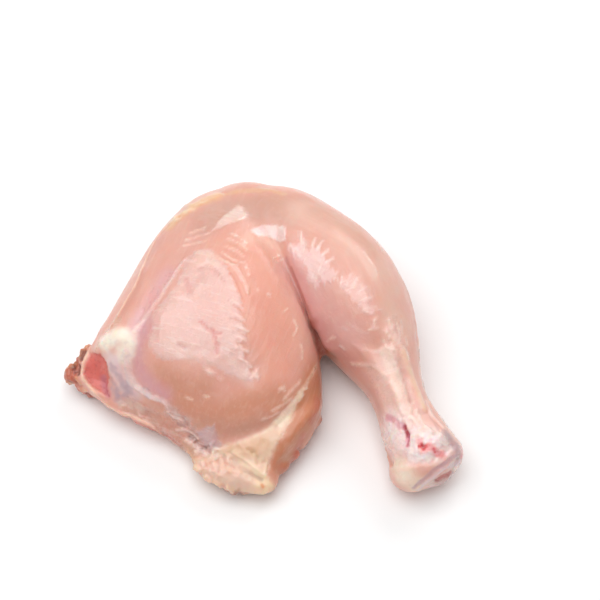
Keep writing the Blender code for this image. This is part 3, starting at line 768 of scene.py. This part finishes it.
        ((-42, 40, 15), (-40, 43, 11)), ((-47, 30, 16), (-44, 33, 17)), reach=0.9, ragged=0.4,
        tone=(249, 220, 206), strength=0.65, rise=0.2, film=1.0),
    "backCalfLine": line((16, 61, 13), (36, 51, 13), (50, 36, 13), (58, 12, 13), (62, -8, 13), (66, -26, 12),
        reach=1.4, ragged=0.4, tone=(243, 206, 188), strength=0.65, rise=-0.6, ledge=0.4, film=0.5),
    "backCalfFold": line((32, 50, 26), (46, 36, 25), (55, 14, 25), (59, -6, 21), reach=2.0, soft=1.0,
        tone=(220, 158, 148), strength=0.5, rise=-0.4),
    "backCalfSheen": line((26, 55, 19), (40, 45, 19), (50, 30, 20), reach=5.0, ragged=2.4, soft=1.0,
        tone=(238, 198, 186), strength=0.4, rise=0.12, film=0.4),
    "backCalfFlecks": lines(((52, 24, 16), (54, 18, 17)), ((56, 12, 19), (57, 6, 18)),
        ((44, 40, 9), (47, 37, 8)), ((58, 4, 9), (60, -2, 9)), ((30, 54, 9), (34, 52, 8)),
        ((60, -8, 17), (61, -14, 17)), reach=0.9, ragged=0.5, tone=(249, 222, 210), strength=0.65, rise=0.2,
        film=1.0),
    "backVein": line((40, 46, 12), (47, 39, 15), (51, 30, 16), (55, 20, 14), (57, 12, 12), reach=0.5,
        ragged=0.2, tone=(178, 98, 112), strength=0.55, rise=0.12),
    "backShank": line((64, -18, 12), (69, -32, 11), (72, -46, 10), reach=9, tone=(240, 204, 192),
        strength=0.8, wrinkled=0.12, film=0.5, muscle=0.2),
    "backTendons": lines(((61, -4, 17), (65, -18, 15), (69, -32, 13), (72, -44, 11)),
        ((61, -6, 8), (65, -20, 7), (69, -34, 6), (72, -46, 6)), reach=1.9, ragged=0.3, soft=0.6,
        tone=(248, 222, 208), strength=0.75, rise=0.45, gristle=0.3),
    "backKnuckleRed": lines(((73, -47, 15), (74, -51, 13)), ((72, -55, 4), (70, -58, 3)), reach=1.4,
        ragged=0.8, tone=(226, 120, 126), strength=0.6, rise=-0.2, raw=0.2),
    "hipUnder": line((-70, -14, 3), (-58, -26, 2), (-44, -40, 2), (-34, -52, 2), reach=3.5,
        tone=(196, 124, 112), strength=0.6, rise=-0.8),
}


def shapeLeg(leg):
    skin = Skin(leg)
    triangles = sum(len(face.vertices) - 2 for face in leg.data.polygons)
    print("fine skin has", skin.count, "points and", triangles, "triangles")
    skin.tuck(legBuild["tucked"])
    for mark in legBuild["moved"]:
        skin.move(mark)
    for mark in legBuild["eased"]:
        skin.ease(mark)
    skin.tone[:] = fromScreen(plainMeat)
    skin.zones["muscle"][:] = 1.0
    for mark in legMarks.values():
        skin.draw(mark)
    besideSeam = skin.spots[:, 0] / mm - np.interp(skin.spots[:, 1] / mm, seamLine["y"], seamLine["x"])
    thigh, drumstick = (skin.fibres(muscleLines[name]) for name in ("thigh", "drumstick"))
    skin.grain = np.where((besideSeam > 0)[:, None], drumstick, thigh)
    for size, height in (legRelief["swell"], legRelief["dimple"]):
        skin.lift += height * skin.waves(size, 1)
    height, long, wide = legRelief["grain"]
    skin.lift += height * skin.bundles(long, wide) * skin.zones["muscle"]
    height, long, wide = legRelief["crossRipple"]
    skin.lift += height * skin.bundles(long, wide, 9.0) * (0.4 + 0.6 * skin.zones["film"])
    large, small = legRelief["torn"]
    skin.lift += skin.torn * (skin.waves(large, 2) + 0.5 * skin.waves(small, 3))
    large, small = legRelief["wrinkled"]
    skin.lift += skin.wrinkled * (skin.ridges(large, 4) + 0.5 * skin.ridges(small, 7) - 0.4)
    size, height = legRelief["lobule"]
    skin.lift += height * skin.zones["fat"] * (0.5 - np.abs(skin.waves(size, 8)) * 2)
    skin.save()


class Wire:
    # a socket that can be added, multiplied and so on, each step adding its Math node

    def __init__(self, graph, socket):
        self.graph = graph
        self.socket = socket

    def math(self, operation, left, right=0.0):
        return self.graph.node("ShaderNodeMath", {"operation": operation}, {0: left, 1: right})

    def __add__(self, other):
        return self.math("ADD", self, other)

    def __sub__(self, other):
        return self.math("SUBTRACT", self, other)

    def __rsub__(self, other):
        return self.math("SUBTRACT", other, self)

    def __mul__(self, other):
        return self.math("MULTIPLY", self, other)

    __radd__ = __add__
    __rmul__ = __mul__

    def step(self, low, high):
        # 0 below low, 1 above high, smooth between
        return self.graph.node("ShaderNodeMapRange", {"interpolation_type": "SMOOTHSTEP"},
                               {"Value": self, "From Min": low, "From Max": high})


class Graph:
    # a material's nodes

    def __init__(self, name):
        self.material = bpy.data.materials.new(name)
        self.material.use_nodes = True
        self.tree = self.material.node_tree
        self.shader = self.tree.nodes["Principled BSDF"]

    def node(self, kind, settings=None, sockets=None, out=0):
        made = self.tree.nodes.new(kind)
        for name, value in (settings or {}).items():
            setattr(made, name, value)
        for key, value in (sockets or {}).items():
            if isinstance(value, Wire):
                self.tree.links.new(value.socket, made.inputs[key])
            else:
                made.inputs[key].default_value = value
        return Wire(self, made.outputs[out])

    def attribute(self, name, out=2):
        return self.node("ShaderNodeAttribute", {"attribute_name": name}, out=out)

    def noise(self, vector, scale, detail=2.0, roughness=0.5):
        return self.node("ShaderNodeTexNoise", {}, {"Vector": vector, "Scale": scale, "Detail": detail,
                                                   "Roughness": roughness})

    def stretched(self, vector, amounts):
        return self.node("ShaderNodeVectorMath", {"operation": "MULTIPLY"}, {0: vector, 1: amounts})

    def blend(self, factor, first, second):
        return self.node("ShaderNodeMix", {"data_type": "RGBA"}, {0: factor, 6: first, 7: second}, out=2)

    def tinted(self, factor, first, tone):
        return self.blend(factor, first, (*fromScreen(tone), 1.0))

    def put(self, name, value):
        if isinstance(value, Wire):
            self.tree.links.new(value.socket, self.shader.inputs[name])
        else:
            self.shader.inputs[name].default_value = value


# finish of the wet raw meat
meatFinish = {
    "glowDepth": 2.2,                   # mm that light travels under the skin
    "glowColour": (1.0, 0.42, 0.28),
    "glow": 0.8,
    "roughness": 0.30,
    "patchyRoughness": 0.10,
    "filmSmoother": 0.12,
    "coat": 0.10,
    "filmCoat": 0.55,
    "patchyCoat": 0.2,
    "coatRoughness": 0.10,
    "specular": 0.5,
    # tints over the painted tone: how strong, and the tone on screen
    "tints": {
        "blotch": (0.16, (220, 140, 126)),
        "bloom": (0.14, (243, 206, 188)),
        "fibre": (0.14, (246, 206, 190)),
        "streak": (0.35, (250, 228, 220)),
        "lobe": (0.28, (222, 168, 124)),
        "gristle": (0.22, (178, 158, 168)),
        "flesh": (0.3, (160, 60, 52)),
    },
    # how high each pattern stands, in mm
    "bumps": {"mid": 0.09, "fine": 0.02, "fibre": 0.03, "streak": 0.02, "filmStreak": 0.05, "lobe": 0.16,
              "flesh": 0.15},
}


def rawMeat():
    g = Graph("wetRawMeat")
    place = g.node("ShaderNodeTexCoord", out=3)
    grain = g.attribute("grain", out=1)
    fat, film, raw, gristle, muscle = (g.attribute(name) for name in Skin.zoneNames)

    # patterns, 0 to 1: along the fibres, across them, in fat, and in all directions
    fibre = g.noise(g.stretched(grain, (70.0, 800.0, 800.0)), 1.0, 3.0, 0.6).step(0.46, 0.74)
    streak = g.noise(g.stretched(grain, (700.0, 110.0, 110.0)), 1.0, 3.0, 0.6).step(0.50, 0.72)
    lobes = g.node("ShaderNodeTexVoronoi", {"feature": "SMOOTH_F1"}, {"Vector": place, "Scale": 420.0})
    flesh = g.noise(place, 700.0, 3.0).step(0.45, 0.75)
    mid = g.noise(place, 480.0, 3.0, 0.55)
    fine = g.noise(place, 1500.0, 2.0)

    # colour: the painted tone with blotches, fibres, whitish films and pits in the cut
    tone = g.attribute("tone", out=0)
    for name, cover in (
        ("blotch", g.noise(place, 90.0, 3.0).step(0.38, 0.70) * (1 - fat)),
        ("bloom", g.noise(place, 170.0, 3.0, 0.6).step(0.5, 0.75)),
        ("fibre", fibre * muscle),
        ("streak", streak * film),
        ("lobe", lobes.step(0.35, 0.8) * fat),
        ("gristle", g.noise(place, 420.0, 3.0).step(0.5, 0.72) * gristle),
        ("flesh", flesh * raw),
    ):
        strength, tint = meatFinish["tints"][name]
        tone = g.tinted(cover * strength, tone, tint)
    g.put("Base Color", tone)

    # surface: wet, with fine fibres and wrinkles that break up the reflections
    bumps = meatFinish["bumps"]
    height = (mid * bumps["mid"] + fine * bumps["fine"] + fibre * muscle * bumps["fibre"]
              + streak * (bumps["streak"] + film * bumps["filmStreak"])
              + lobes * fat * bumps["lobe"] - flesh * raw * bumps["flesh"])
    g.put("Normal", g.node("ShaderNodeBump", {}, {"Strength": 1.0, "Distance": mm, "Height": height}))
    g.put("Roughness", meatFinish["roughness"] + mid.step(0.35, 0.7) * meatFinish["patchyRoughness"]
          - film * meatFinish["filmSmoother"])
    g.put("Coat Weight", meatFinish["coat"] + meatFinish["filmCoat"] * film
          + meatFinish["patchyCoat"] * g.noise(place, 60.0, 2.0).step(0.4, 0.6))
    g.put("Coat Roughness", meatFinish["coatRoughness"])
    g.put("Specular IOR Level", meatFinish["specular"])
    g.put("Subsurface Weight", meatFinish["glow"])
    g.put("Subsurface Radius", meatFinish["glowColour"])
    g.put("Subsurface Scale", meatFinish["glowDepth"] * mm)
    return g.material


leg = fineSkin(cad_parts["chicken_leg"], legBuild)
print("meat remeshed")
shapeLeg(leg)
leg.data.materials.clear()
leg.data.materials.append(rawMeat())
leg.data.shade_smooth()
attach(leg, "root")
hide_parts("chicken_leg")
print("meat shaped and painted")


# pale table and soft studio light
studio = {
    "floorSize": 6.0,                   # m
    "floorDrop": 0.2,                   # mm below the leg, so that no faces share a plane
    "floorTone": 0.97,
    "floorRoughness": 0.7,
    "floorSpecular": 0.2,
    "sky": 0.40,                        # strength of the even white light from all round
    "lights": (
        # name, place and target in m, width and height in m, watts
        ("softbox", (-0.27, 0.03, 0.86), (-0.26, 0.03, 0.0), 0.95, 1.10, 7.0),
        ("back", (0.55, 0.95, 0.80), (0.0, 0.0, 0.0), 0.80, 0.60, 4.5),
    ),
}


def addFloor():
    bm = bmesh.new()
    bmesh.ops.create_grid(bm, x_segments=1, y_segments=1, size=studio["floorSize"] / 2)
    bmesh.ops.translate(bm, verts=bm.verts, vec=(0, 0, -studio["floorDrop"] * mm))
    mesh = bpy.data.meshes.new("table")
    bm.to_mesh(mesh)
    bm.free()
    table = bpy.data.objects.new("table", mesh)
    scene.collection.objects.link(table)
    g = Graph("paleTable")
    g.put("Base Color", (*[studio["floorTone"]] * 3, 1))
    g.put("Roughness", studio["floorRoughness"])
    g.put("Specular IOR Level", studio["floorSpecular"])
    mesh.materials.append(g.material)


def addLights():
    for name, place, target, width, height, watts in studio["lights"]:
        data = bpy.data.lights.new(name, "AREA")
        data.shape = "RECTANGLE"
        data.size = width
        data.size_y = height
        data.energy = watts
        light = bpy.data.objects.new(name, data)
        light.location = place
        light.rotation_mode = "QUATERNION"
        light.rotation_quaternion = (Vector(target) - Vector(place)).to_track_quat("-Z", "Y")
        scene.collection.objects.link(light)
    world = bpy.data.worlds.new("studio")
    world.use_nodes = True
    world.node_tree.nodes["Background"].inputs["Color"].default_value = (1, 1, 1, 1)
    world.node_tree.nodes["Background"].inputs["Strength"].default_value = studio["sky"]
    scene.world = world
    scene.view_settings.view_transform = "Standard"


addFloor()
addLights()
print("studio lit")
